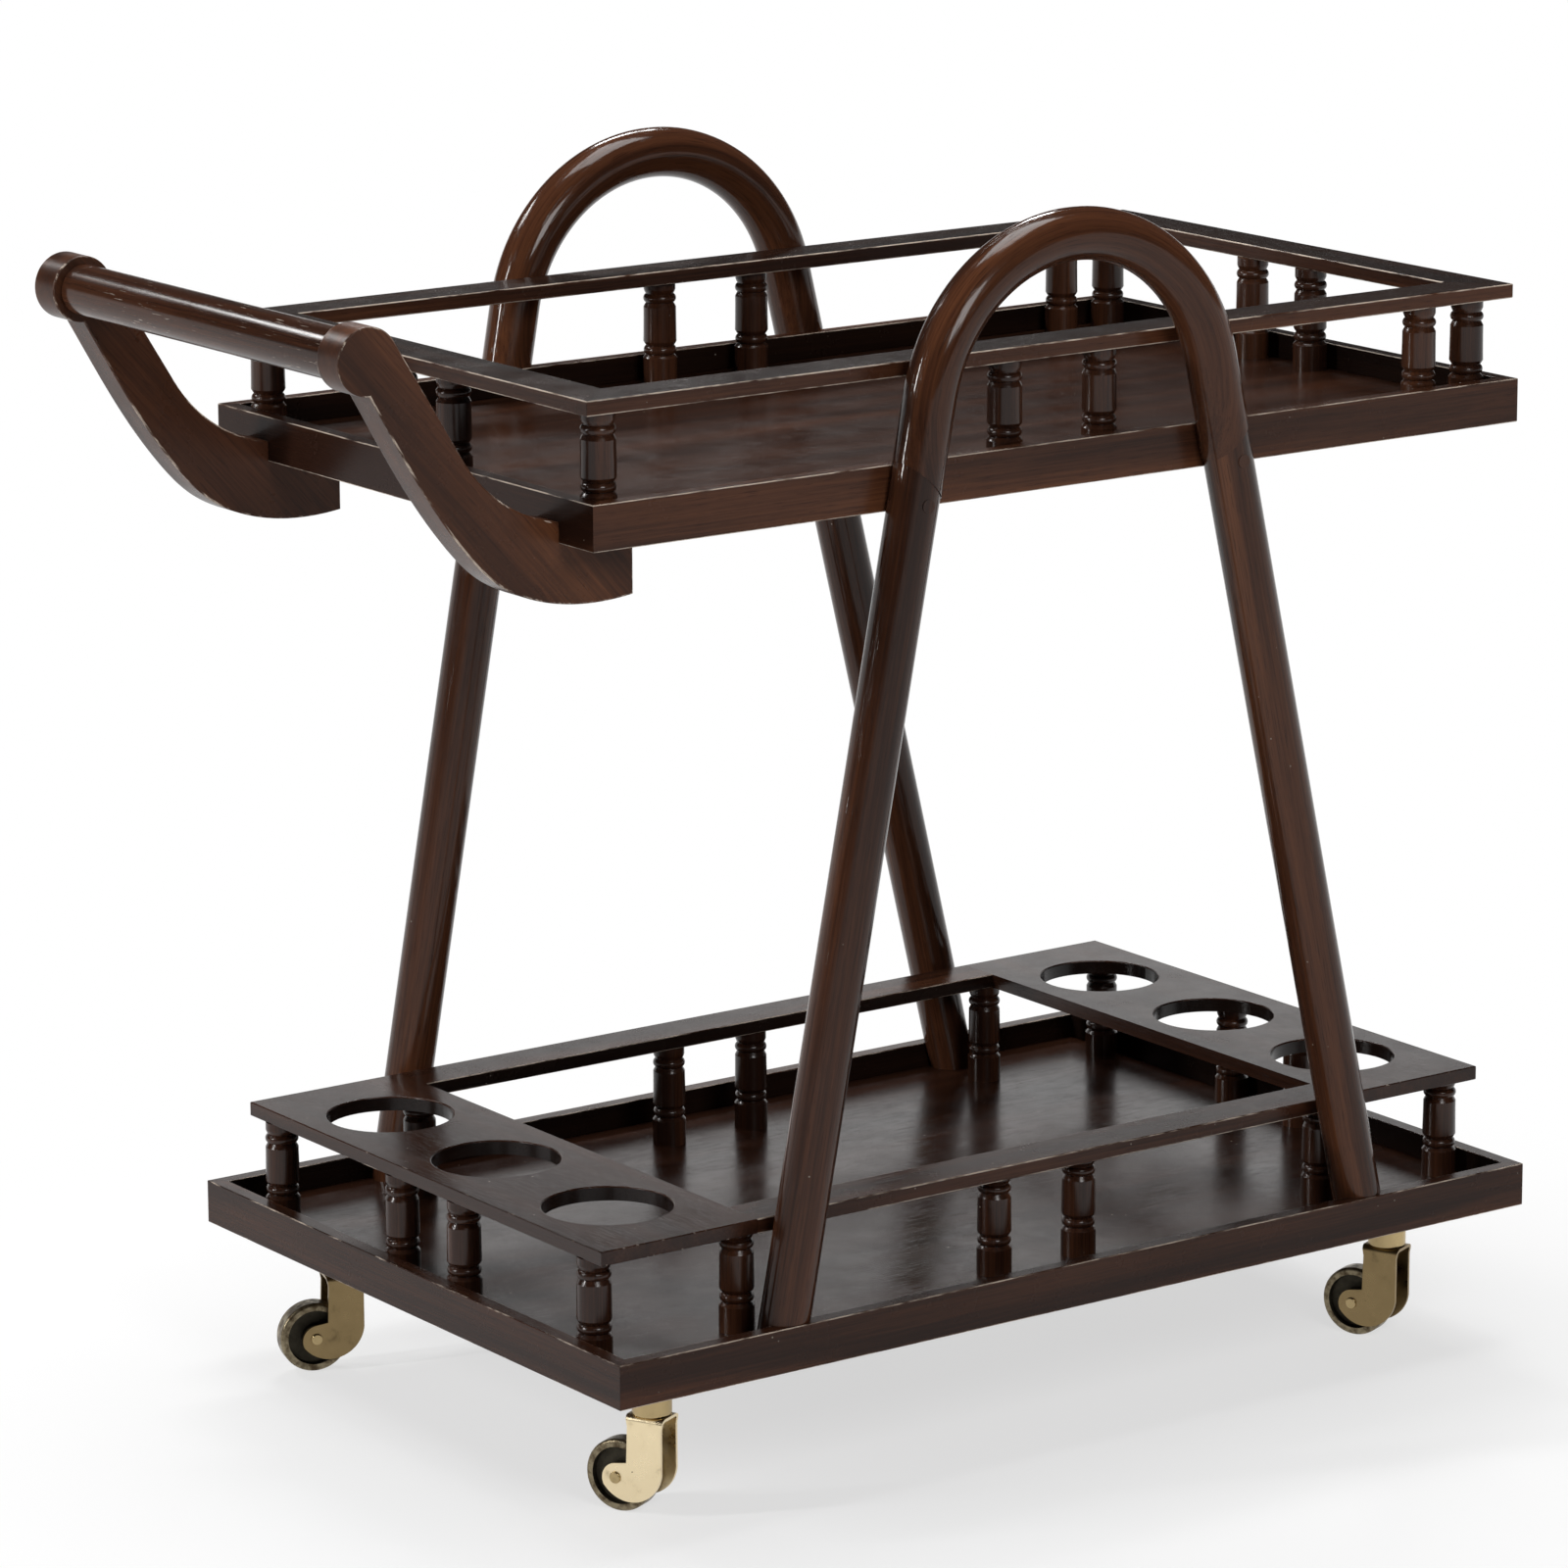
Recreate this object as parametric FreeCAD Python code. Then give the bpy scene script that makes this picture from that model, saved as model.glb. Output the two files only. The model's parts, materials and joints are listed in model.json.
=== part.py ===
"""Two-tier wooden bar cart with arched sides, galleries, a push handle and swivel castors.

Millimetres. +Z is up and the floor is Z = 0. The handle is towards -X, the free end towards +X.
The near long side is towards -Y, the far one towards +Y. The origin lies below the middle of the
overall box. Shapes are drawn about the middle of the bottom tray and moved once when written.
"""

import math
import os

import FreeCAD
import Part

Vector = FreeCAD.Vector

# Trays
TRAY_LENGTH = 810.0
TOP_TRAY_WIDTH = 480.0
RIM_HEIGHT = 32.0
RIM_THICKNESS = 11.5
RIM_EASE = 0.7
PANEL_THICKNESS = 10.0
PANEL_TOP = 13.0
GROOVE_DEPTH = 6.0
GROOVE_PLAY = 0.3
MITRE_PLAY = 0.12

# Heights above the floor, and measured offsets towards the free end
CASTOR_HEIGHT = 107.0
TRAY_SPACING = 585.5
UPPER_SHIFT = 6.5
TOP_GALLERY_SHIFT = 10.5
LOWER_SHIFT = 1.0

# Galleries
RAIL_WIDTH = 36.0
RAIL_THICKNESS = 10.5
RAIL_EASE = 0.8
TOP_GALLERY_INSET = 12.0
LOWER_GALLERY_END_INSET = 12.5
LEG_RAIL_GAP = 4.7
BOTTLE_PANEL_WIDTH = 130.0
BOTTLE_HOLE_D = 92.0
BOTTLE_HOLE_EASE = 1.0
BOTTLE_END_INSET = 88.5

# Turned spindles
SPINDLE_HEIGHT = 76.0
SPINDLE_BASE_R = 12.7
SPINDLE_BARREL_R = 12.4
SPINDLE_TOP_R = 11.8
SPINDLE_GROOVE_R = 10.3
SPINDLE_BEAD_R = 12.2
SPINDLE_BASE_TOP = 21.6
SPINDLE_BEAD = 6.5
SPINDLE_CAP = 9.2
TENON_R = 4.0
TENON_LENGTH = 5.0
TENON_PLAY = 0.1
SPINDLE_RIM_PLAY = 0.3
TOP_ROW_INSET = 17.5
TOP_PAIR = 41.5
TOP_SECOND_INSET = 70.0
TOP_END_PAIR = 34.0
LOWER_ROW_INSET = 25.5
LOWER_PAIR = 38.0
LOWER_END_PAIR = 40.5

# Arches
ARCH_OUTSET = 12.0
FOOT_COVER = 19.0
BEND_RADIUS = 125.0
BEND_CENTRE_X = {"near": -8.0, "far": -13.0}
BEND_ABOVE_TRAY = 53.2
FOOT_INSET_X = 144.0
FOOT_SHIFT = {"near": 2.5, "far": 7.0}
LEG_R = 17.8
BEND_R = 18.5
SCARF_ABOVE_TRAY = 21.5
SCARF_DEG = 35.0
PLUG_R = 5.0
PLUG_ABOVE_TRAY = 6.5
PLUG_DEPTH = 8.0
PLUG_PROUD = 0.3
PLUG_PLAY = 0.05

# Push handle
BAR_REACH = 146.0
BAR_ABOVE_TRAY = 137.2
BAR_R = 17.75
BAR_EASE = 2.0
BAR_TENON_R = 11.0
BAR_TENON_LENGTH = 16.0
BAR_TENON_PLAY = 0.1
KNUCKLE_R = 23.2
ARM_THICKNESS = 27.0
ARM_INSET = 68.0
ARM_WIDTH = 35.0
ARM_SLOPE_DEG = 58.5
ARM_SEAT_DEG = 10.0
ARM_BUTT = 14.5
ARM_UNDER = 59.5
ARM_EASE = 1.2
ARM_LOWER_EDGE = (
    (-122.6, 74.1),
    (-101.0, 39.0),
    (-74.0, 2.7),
    (-48.0, -22.5),
    (-19.0, -36.5),
    (14.0, -43.1),
)
ARM_TOE_DROP = 41.5

# Castors
CASTOR_INSET_X = 72.5
CASTOR_INSET_Y = 68.5
CASTOR_HEADINGS = {"handle_near": 116.0, "free_near": 113.0, "handle_far": 163.0, "free_far": 136.0}
WHEEL_R = 26.0
WHEEL_WIDTH = 15.5
WHEEL_EDGE = 2.6
WHEEL_RIM = 5.4
WHEEL_RECESS = 4.2
WHEEL_HUB_R = 9.0
WHEEL_SIDE_PLAY = 1.8
WHEEL_BORE_PLAY = 0.08
AXLE_R = 3.0
AXLE_FORK_PLAY = 0.05
AXLE_HEAD_R = 4.2
AXLE_HEAD = 1.5
TRAIL = 23.0
SHEET = 2.4
FORK_BEND_R = 4.5
STRAP_HALF = 13.3
STRAP_FLARE = 1.6
STRAP_FLARE_DROP = 8.0
NECK_R = 14.0
NECK_EASE = 0.8
NECK_UP = 73.3
SWIVEL_PLAY = 0.4
KING_PIN_R = 4.0
KING_PIN_PLAY = 0.06
KING_HEAD_R = 7.0
KING_HEAD = 2.4
STEM_R = 5.0
STEM_LENGTH = 7.0
STEM_PLAY = 0.1

# Derived sizes and positions
HALF_LENGTH = TRAY_LENGTH / 2
ARCH_PLANE_Y = TOP_TRAY_WIDTH / 2 + ARCH_OUTSET
BOTTOM_TRAY_WIDTH = 2 * (ARCH_PLANE_Y + FOOT_COVER)
TOP_GALLERY_WIDTH = TOP_TRAY_WIDTH - 2 * TOP_GALLERY_INSET
LOWER_GALLERY_LENGTH = TRAY_LENGTH - 2 * LOWER_GALLERY_END_INSET
LOWER_GALLERY_WIDTH = 2 * (ARCH_PLANE_Y - LEG_R - LEG_RAIL_GAP)
LOWER_SEAM_X = LOWER_GALLERY_LENGTH / 2 - BOTTLE_PANEL_WIDTH
BOTTLE_PITCH = LOWER_GALLERY_WIDTH / 2 - BOTTLE_END_INSET
FOOT_X = HALF_LENGTH - FOOT_INSET_X
ARM_INNER_Y = TOP_TRAY_WIDTH / 2 - ARM_INSET
TRAY_END_X = UPPER_SHIFT - HALF_LENGTH
BAR_X = TRAY_END_X - BAR_REACH
BOTTOM_Z = CASTOR_HEIGHT
TOP_Z = CASTOR_HEIGHT + TRAY_SPACING
BOTTOM_FLOOR_Z = BOTTOM_Z + PANEL_TOP
TOP_FLOOR_Z = TOP_Z + PANEL_TOP
LOWER_GALLERY_Z = BOTTOM_FLOOR_Z + SPINDLE_HEIGHT
TOP_GALLERY_Z = TOP_FLOOR_Z + SPINDLE_HEIGHT
BEND_CENTRE_Z = TOP_Z + BEND_ABOVE_TRAY
BAR_Z = TOP_Z + BAR_ABOVE_TRAY
OVERALL_MIN_X = BAR_X - KNUCKLE_R
OVERALL_MAX_X = HALF_LENGTH + max(UPPER_SHIFT, TOP_GALLERY_SHIFT)
FRAME_SHIFT = Vector(-(OVERALL_MIN_X + OVERALL_MAX_X) / 2, 0, 0)
X_AXIS = Vector(1, 0, 0)
Y_AXIS = Vector(0, 1, 0)
Z_AXIS = Vector(0, 0, 1)


def box(x0, x1, y0, y1, z0, z1):
    """Block between two opposite corners."""
    return Part.makeBox(x1 - x0, y1 - y0, z1 - z0, Vector(x0, y0, z0))


def prism(points, z, height):
    """Upright block with a plan outline."""
    corners = [Vector(x, y, z) for x, y in points]
    outline = Part.makePolygon(corners + corners[:1])
    return Part.Face(outline).extrude(Vector(0, 0, height))


def ease_along(solid, axis, radius):
    """Round the straight edges that run along an axis."""
    edges = []
    for edge in solid.Edges:
        if abs(edge.tangentAt(edge.FirstParameter).dot(axis)) > 0.999:
            edges.append(edge)
    return solid.makeFillet(radius, edges)


def frame_side(side, length, width, bar, height, z, centre_x, ease):
    """One mitred bar of a rectangular frame."""
    half_l = length / 2
    half_w = width / 2
    sign = -1 if side in ("near", "handle") else 1
    if side in ("near", "far"):
        long_end = half_l - MITRE_PLAY
        short_end = half_l - bar - MITRE_PLAY
        outer = sign * half_w
        inner = sign * (half_w - bar)
        plan = [(-long_end, outer), (long_end, outer), (short_end, inner), (-short_end, inner)]
        axis = X_AXIS
    else:
        long_end = half_w - MITRE_PLAY
        short_end = half_w - bar - MITRE_PLAY
        outer = sign * half_l
        inner = sign * (half_l - bar)
        plan = [(outer, -long_end), (outer, long_end), (inner, short_end), (inner, -short_end)]
        axis = Y_AXIS
    moved = [(x + centre_x, y) for x, y in plan]
    return ease_along(prism(moved, z, height), axis, ease)


def peg_holes(places, z, depth):
    """Blind holes for spindle tenons, from height z upwards by depth."""
    return [Part.makeCylinder(TENON_R + TENON_PLAY, depth, Vector(x, y, z)) for x, y in places]


def bore(solid, tools):
    """Cut a list of tools from a solid."""
    return solid.cut(Part.makeCompound(tools)) if tools else solid


def spindle():
    """Turned spindle standing at the origin, with a tenon at each end."""
    barrel_low = SPINDLE_BASE_TOP + SPINDLE_BEAD
    cap_low = SPINDLE_HEIGHT - SPINDLE_CAP
    barrel_high = cap_low - SPINDLE_BEAD
    outline = [
        Part.makePolygon([
            Vector(0, 0, -TENON_LENGTH),
            Vector(TENON_R, 0, -TENON_LENGTH),
            Vector(TENON_R, 0, 0),
            Vector(SPINDLE_BASE_R, 0, 0),
            Vector(SPINDLE_BASE_R, 0, SPINDLE_BASE_TOP - 2.6),
            Vector(SPINDLE_BASE_R - 0.8, 0, SPINDLE_BASE_TOP - 1.6),
            Vector(SPINDLE_GROOVE_R, 0, SPINDLE_BASE_TOP),
        ]),
        bead(SPINDLE_BASE_TOP, barrel_low),
        Part.makePolygon([
            Vector(SPINDLE_GROOVE_R, 0, barrel_low),
            Vector(SPINDLE_BARREL_R - 0.7, 0, barrel_low + 2.0),
            Vector(SPINDLE_BARREL_R, 0, barrel_low + 3.3),
            Vector(SPINDLE_BARREL_R - 0.3, 0, barrel_high - 3.3),
            Vector(SPINDLE_BARREL_R - 1.0, 0, barrel_high - 1.9),
            Vector(SPINDLE_GROOVE_R, 0, barrel_high),
        ]),
        bead(barrel_high, cap_low),
        Part.makePolygon([
            Vector(SPINDLE_GROOVE_R, 0, cap_low),
            Vector(SPINDLE_TOP_R - 0.5, 0, cap_low + 2.0),
            Vector(SPINDLE_TOP_R, 0, cap_low + 3.4),
            Vector(SPINDLE_TOP_R, 0, SPINDLE_HEIGHT),
            Vector(TENON_R, 0, SPINDLE_HEIGHT),
            Vector(TENON_R, 0, SPINDLE_HEIGHT + TENON_LENGTH),
            Vector(0, 0, SPINDLE_HEIGHT + TENON_LENGTH),
            Vector(0, 0, -TENON_LENGTH),
        ]),
    ]
    edges = [edge for wire in outline for edge in wire.Edges]
    half_section = Part.Face(Part.Wire(edges))
    return half_section.revolve(Vector(0, 0, 0), Z_AXIS, 360)


def bead(low, high):
    """Rounded bead between two grooves of a spindle."""
    arc = Part.Arc(
        Vector(SPINDLE_GROOVE_R, 0, low),
        Vector(SPINDLE_BEAD_R, 0, (low + high) / 2),
        Vector(SPINDLE_GROOVE_R, 0, high),
    )
    return Part.Wire([arc.toShape()])


def spindle_row(places, z):
    """Group of spindles standing on height z."""
    turned = spindle()
    return Part.makeCompound([turned.translated(Vector(x, y, z)) for x, y in places])


def tray(prefix, width, z, centre_x, floor_cuts):
    """Panel let into four grooved, mitred rims."""
    pieces = {}
    opening_x = HALF_LENGTH - RIM_THICKNESS
    opening_y = width / 2 - RIM_THICKNESS
    low = z + PANEL_TOP - PANEL_THICKNESS
    high = z + PANEL_TOP
    pocket_x = opening_x + GROOVE_DEPTH
    pocket_y = opening_y + GROOVE_DEPTH
    pocket = box(centre_x - pocket_x, centre_x + pocket_x, -pocket_y, pocket_y, low, high + GROOVE_PLAY)
    for side in ("near", "far", "handle", "free"):
        rim = frame_side(side, TRAY_LENGTH, width, RIM_THICKNESS, RIM_HEIGHT, z, centre_x, RIM_EASE)
        pieces[prefix + "_rim_" + side] = rim.cut(pocket)
    edge_x = pocket_x - GROOVE_PLAY
    edge_y = pocket_y - GROOVE_PLAY
    panel = box(centre_x - edge_x, centre_x + edge_x, -edge_y, edge_y, low, high)
    pieces[prefix + "_panel"] = bore(panel, floor_cuts)
    return pieces


def tangent_point(centre_x, foot_x, foot_z):
    """Point where a line from a foot meets the bend's centre circle, on the foot's own side."""
    run_x = foot_x - centre_x
    run_z = foot_z - BEND_CENTRE_Z
    reach = math.hypot(run_x, run_z)
    angle = math.atan2(run_z, run_x)
    swing = math.acos(BEND_RADIUS / reach)
    turn = angle + swing if foot_x > centre_x else angle - swing
    touch_x = centre_x + BEND_RADIUS * math.cos(turn)
    touch_z = BEND_CENTRE_Z + BEND_RADIUS * math.sin(turn)
    return Vector(touch_x, 0, touch_z), turn


def arch(side):
    """Bent top and two straight legs with scarf joints, notched over both trays."""
    sign = -1 if side == "near" else 1
    across = Vector(0, sign * ARCH_PLANE_Y, 0)
    top_notch = box(
        UPPER_SHIFT - HALF_LENGTH, UPPER_SHIFT + HALF_LENGTH,
        -TOP_TRAY_WIDTH / 2, TOP_TRAY_WIDTH / 2, TOP_Z, TOP_Z + RIM_HEIGHT,
    )
    opening_x = HALF_LENGTH - RIM_THICKNESS
    opening_y = BOTTOM_TRAY_WIDTH / 2 - RIM_THICKNESS
    rim_block = box(
        -HALF_LENGTH, HALF_LENGTH, -BOTTOM_TRAY_WIDTH / 2, BOTTOM_TRAY_WIDTH / 2,
        BOTTOM_Z - PANEL_TOP, BOTTOM_Z + RIM_HEIGHT,
    )
    opening = box(-opening_x, opening_x, -opening_y, opening_y, BOTTOM_FLOOR_Z, BOTTOM_Z + RIM_HEIGHT)
    foot_notch = rim_block.cut(opening)
    centre_x = BEND_CENTRE_X[side]
    right_foot = FOOT_SHIFT[side] + FOOT_X
    left_foot = FOOT_SHIFT[side] - FOOT_X
    right, right_turn = tangent_point(centre_x, right_foot, BOTTOM_FLOOR_Z)
    left, left_turn = tangent_point(centre_x, left_foot, BOTTOM_FLOOR_Z)
    sweep = math.degrees((left_turn - right_turn) % (2 * math.pi))
    normal = Vector(-math.sin(right_turn), 0, math.cos(right_turn))
    section = Part.Face(Part.Wire([Part.makeCircle(BEND_R, right + across, normal)]))
    centre = Vector(centre_x, 0, BEND_CENTRE_Z) + across
    bend = section.revolve(centre, Vector(0, -1, 0), sweep)
    legs = {}
    plugs = []
    for end, foot_x, start in (("handle", left_foot, left), ("free", right_foot, right)):
        foot = Vector(foot_x, 0, BOTTOM_FLOOR_Z)
        down = (foot - start).normalize()
        outward = Vector(math.copysign(1, foot_x), 0, 0)
        joint = start + down * ((TOP_Z + SCARF_ABOVE_TRAY - start.z) / down.z) + across
        scarf = (down + outward * math.tan(math.radians(SCARF_DEG))).normalize()
        overlap = 2 * BEND_R
        stub_length = (joint - across - start).Length + overlap
        stub = Part.makeCylinder(BEND_R, stub_length, start + across, down)
        bend = bend.fuse(stub.cut(Part.makeCylinder(3 * BEND_R, 3 * overlap, joint, scarf)))
        top = joint - down * overlap
        length = (foot + across + down * LEG_R - top).Length
        leg = Part.makeCylinder(LEG_R, length, top, down)
        leg = leg.cut(Part.makeCylinder(3 * BEND_R, 3 * overlap, joint, scarf * -1))
        leg = leg.cut(top_notch).cut(foot_notch)
        axis_point = start + down * ((TOP_Z + PLUG_ABOVE_TRAY - start.z) / down.z) + across
        crown = axis_point + Vector(0, sign * LEG_R, 0)
        seat = crown - Vector(0, sign * PLUG_DEPTH, 0)
        out = Vector(0, sign, 0)
        legs[end] = leg.cut(Part.makeCylinder(PLUG_R, PLUG_DEPTH + 1, seat, out))
        plugs.append(Part.makeCylinder(PLUG_R - PLUG_PLAY, PLUG_DEPTH + PLUG_PROUD, seat, out))
    bend = bend.removeSplitter().cut(top_notch)
    return bend, legs, plugs


def handle_arm(side):
    """Flat curved arm with a round knuckle, seated on the end and underside of the top tray."""
    sign = -1 if side == "near" else 1
    y = sign * ARM_INNER_Y if sign > 0 else -ARM_INNER_Y - ARM_THICKNESS
    slope = math.radians(ARM_SLOPE_DEG)
    along = Vector(math.cos(slope), 0, -math.sin(slope))
    normal = Vector(math.sin(slope), 0, math.cos(slope))
    hub = Vector(BAR_X, y, BAR_Z)
    crown = hub + normal * KNUCKLE_R
    butt = Vector(TRAY_END_X, y, TOP_Z + ARM_BUTT)
    chord_angle = (slope + math.radians(ARM_SEAT_DEG)) / 2
    half_turn = (slope - math.radians(ARM_SEAT_DEG)) / 2
    chord_dir = Vector(math.cos(chord_angle), 0, -math.sin(chord_angle))
    gap = butt - crown
    chord = (gap.x * along.z - gap.z * along.x) / (chord_dir.x * along.z - chord_dir.z * along.x)
    blend = butt - chord_dir * chord
    sag = chord / 2 * math.tan(half_turn / 2)
    sag_dir = Vector(-math.sin(chord_angle), 0, -math.cos(chord_angle))
    middle = (butt + blend) * 0.5 + sag_dir * sag
    drop = ARM_WIDTH - KNUCKLE_R
    root = hub - normal * drop + along * math.sqrt(KNUCKLE_R ** 2 - drop ** 2)
    rim_inner = TRAY_END_X + RIM_THICKNESS
    panel_under = TOP_Z + PANEL_TOP - PANEL_THICKNESS
    toe_x = TRAY_END_X + ARM_UNDER
    toe = Vector(toe_x, y, TOP_Z - ARM_TOE_DROP)
    lower = [root] + [Vector(TRAY_END_X + x, y, TOP_Z + up) for x, up in ARM_LOWER_EDGE] + [toe]
    lower_edge = Part.BSplineCurve()
    lower_edge.interpolate(lower)
    seat = [
        butt,
        Vector(TRAY_END_X, y, TOP_Z),
        Vector(rim_inner, y, TOP_Z),
        Vector(rim_inner, y, panel_under),
        Vector(toe_x, y, panel_under),
        toe,
    ]
    edges = [Part.makeLine(crown, blend), Part.Arc(blend, middle, butt).toShape()]
    edges += Part.makePolygon(seat).Edges
    edges += [lower_edge.toShape(), Part.Arc(root, hub - along * KNUCKLE_R, crown).toShape()]
    outline = Part.Wire(Part.__sortEdges__(edges))
    solid = Part.Face(outline).extrude(Vector(0, ARM_THICKNESS, 0))
    rims = []
    for edge in solid.Edges:
        ends = [vertex.Point for vertex in edge.Vertexes]
        flat = abs(ends[0].y - ends[-1].y) < 0.01
        middle_point = edge.valueAt((edge.FirstParameter + edge.LastParameter) / 2)
        on_seat = middle_point.x > TRAY_END_X - 0.1 and middle_point.z > TOP_Z - 0.1
        if flat and not on_seat:
            rims.append(edge)
    solid = solid.makeFillet(ARM_EASE, rims)
    mouth = Vector(BAR_X, sign * ARM_INNER_Y, BAR_Z)
    depth = BAR_TENON_LENGTH + 0.5
    return solid.cut(Part.makeCylinder(BAR_TENON_R + BAR_TENON_PLAY, depth, mouth, Vector(0, sign, 0)))


def handle_bar():
    """Round push bar with a tenon in each arm."""
    rod = Part.makeCylinder(BAR_R, 2 * ARM_INNER_Y, Vector(BAR_X, -ARM_INNER_Y, BAR_Z), Y_AXIS)
    rims = [edge for edge in rod.Edges if edge.Closed]
    rod = rod.makeFillet(BAR_EASE, rims)
    reach = ARM_INNER_Y + BAR_TENON_LENGTH
    core = Part.makeCylinder(BAR_TENON_R, 2 * reach, Vector(BAR_X, -reach, BAR_Z), Y_AXIS)
    return rod.fuse(core).removeSplitter()


def bottle_panel(end, places):
    """Flat panel with a row of round bottle holes with eased upper edges."""
    sign = -1 if end == "handle" else 1
    outer = sign * LOWER_GALLERY_LENGTH / 2
    inner = outer - sign * BOTTLE_PANEL_WIDTH
    x0 = min(outer, inner) + LOWER_SHIFT
    half_w = LOWER_GALLERY_WIDTH / 2
    z = LOWER_GALLERY_Z
    panel = box(x0, x0 + BOTTLE_PANEL_WIDTH, -half_w, half_w, z, z + RAIL_THICKNESS)
    rims = []
    for edge in panel.Edges:
        rising = abs(edge.tangentAt(edge.FirstParameter).dot(Z_AXIS)) > 0.999
        at_seam = abs(edge.CenterOfMass.x - inner - LOWER_SHIFT) < 0.01
        if not rising and not at_seam:
            rims.append(edge)
    panel = panel.makeFillet(RAIL_EASE, rims)
    for step in (-1, 0, 1):
        middle = Vector(x0 + BOTTLE_PANEL_WIDTH / 2, step * BOTTLE_PITCH, z)
        panel = panel.cut(Part.makeCylinder(BOTTLE_HOLE_D / 2, RAIL_THICKNESS, middle))
    tops = []
    for edge in panel.Edges:
        if edge.Closed and abs(edge.CenterOfMass.z - z - RAIL_THICKNESS) < 0.01:
            tops.append(edge)
    panel = panel.makeFillet(BOTTLE_HOLE_EASE, tops)
    return bore(panel, peg_holes(places, z, TENON_LENGTH + TENON_PLAY))


def side_rail(side, places):
    """Flat rail that runs between the two bottle panels."""
    sign = -1 if side == "near" else 1
    half = LOWER_GALLERY_LENGTH / 2 - BOTTLE_PANEL_WIDTH - MITRE_PLAY
    outer = sign * LOWER_GALLERY_WIDTH / 2
    inner = outer - sign * RAIL_WIDTH
    z = LOWER_GALLERY_Z
    low_y = min(outer, inner)
    rail = box(LOWER_SHIFT - half, LOWER_SHIFT + half, low_y, low_y + RAIL_WIDTH, z, z + RAIL_THICKNESS)
    return bore(ease_along(rail, X_AXIS, RAIL_EASE), peg_holes(places, z, TENON_LENGTH + TENON_PLAY))


def castor_neck():
    """Fixed neck with the stem above it and the riveted king pin below it, on the swivel axis."""
    top = BOTTOM_FLOOR_Z - PANEL_THICKNESS
    neck = Part.makeCylinder(NECK_R, top - NECK_UP, Vector(0, 0, NECK_UP))
    foot_rim = [edge for edge in neck.Edges if edge.Closed and edge.CenterOfMass.z < top - 1]
    neck = neck.makeFillet(NECK_EASE, foot_rim)
    stem = Part.makeCylinder(STEM_R, STEM_LENGTH, Vector(0, 0, top))
    web_low = NECK_UP - SWIVEL_PLAY - SHEET
    head_top = web_low - SWIVEL_PLAY
    pin = Part.makeCylinder(KING_PIN_R, NECK_UP - head_top, Vector(0, 0, head_top))
    head = Part.makeCylinder(KING_HEAD_R, KING_HEAD, Vector(0, 0, head_top - KING_HEAD))
    return neck.fuse([stem, pin, head]).removeSplitter()


def castor_fork():
    """Bent strap: a web that swivels on the king pin and two cheeks that carry the axle."""
    half_gap = WHEEL_WIDTH / 2 + WHEEL_SIDE_PLAY
    half_out = half_gap + SHEET
    web_top = NECK_UP - SWIVEL_PLAY
    z_axle = WHEEL_R
    flare = STRAP_HALF + STRAP_FLARE
    shoulder = web_top - STRAP_FLARE_DROP
    lead = Vector(-STRAP_HALF, 0, z_axle + 6.5)
    toe = Vector(TRAIL + 9.5, 0, z_axle - 6.0)
    lobe_top = Vector(TRAIL + 1.0, 0, z_axle + 10.2)
    notch = Vector(STRAP_HALF + 0.9, 0, z_axle + 11.7)
    cheek_edges = Part.makePolygon([
        lobe_top,
        notch,
        Vector(STRAP_HALF, 0, shoulder),
        Vector(flare, 0, web_top),
        Vector(-flare, 0, web_top),
        Vector(-STRAP_HALF, 0, shoulder),
        lead,
    ]).Edges
    cheek_edges.append(Part.Arc(lead, Vector(10.5, 0, z_axle - 16.3), toe).toShape())
    cheek_edges.append(Part.Arc(toe, Vector(TRAIL + 9.5, 0, z_axle + 3.7), lobe_top).toShape())
    side_view = Part.Face(Part.Wire(cheek_edges)).extrude(Vector(0, 2 * half_out, 0))
    side_view.translate(Vector(0, -half_out, 0))
    reach = TRAIL + 2 * WHEEL_R
    outside = box(-reach, reach, -half_out, half_out, 0, web_top)
    inside = box(-reach, reach, -half_gap, half_gap, -1, web_top - SHEET)
    outside = outside.makeFillet(FORK_BEND_R, [e for e in outside.Edges if is_bend(e, web_top)])
    web_low = web_top - SHEET
    inside = inside.makeFillet(FORK_BEND_R - SHEET, [e for e in inside.Edges if is_bend(e, web_low)])
    fork = side_view.common(outside.cut(inside))
    pin_hole = Part.makeCylinder(KING_PIN_R + KING_PIN_PLAY, 3 * SHEET, Vector(0, 0, web_top - 2 * SHEET))
    hole_at = Vector(TRAIL, -2 * half_out, z_axle)
    axle_hole = Part.makeCylinder(AXLE_R + AXLE_FORK_PLAY, 4 * half_out, hole_at, Y_AXIS)
    return fork.cut(pin_hole).cut(axle_hole)


def is_bend(edge, z):
    """True for an upper edge that runs along the strap's width."""
    runs = abs(edge.tangentAt(edge.FirstParameter).dot(X_AXIS)) > 0.999
    return runs and abs(edge.CenterOfMass.z - z) < 0.01


def castor_axle():
    """Plain axle with a riveted head outside each cheek."""
    half_out = WHEEL_WIDTH / 2 + WHEEL_SIDE_PLAY + SHEET
    pin = Part.makeCylinder(AXLE_R, 2 * half_out, Vector(TRAIL, -half_out, WHEEL_R), Y_AXIS)
    heads = []
    for sign in (-1, 1):
        out = Vector(0, sign, 0)
        head = Part.makeCylinder(AXLE_HEAD_R, AXLE_HEAD, Vector(TRAIL, sign * half_out, WHEEL_R), out)
        far_rim = [e for e in head.Edges if e.Closed and abs(e.CenterOfMass.y) > half_out + AXLE_HEAD / 2]
        heads.append(head.makeFillet(AXLE_HEAD * 0.6, far_rim))
    return pin.fuse(heads).removeSplitter()


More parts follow.
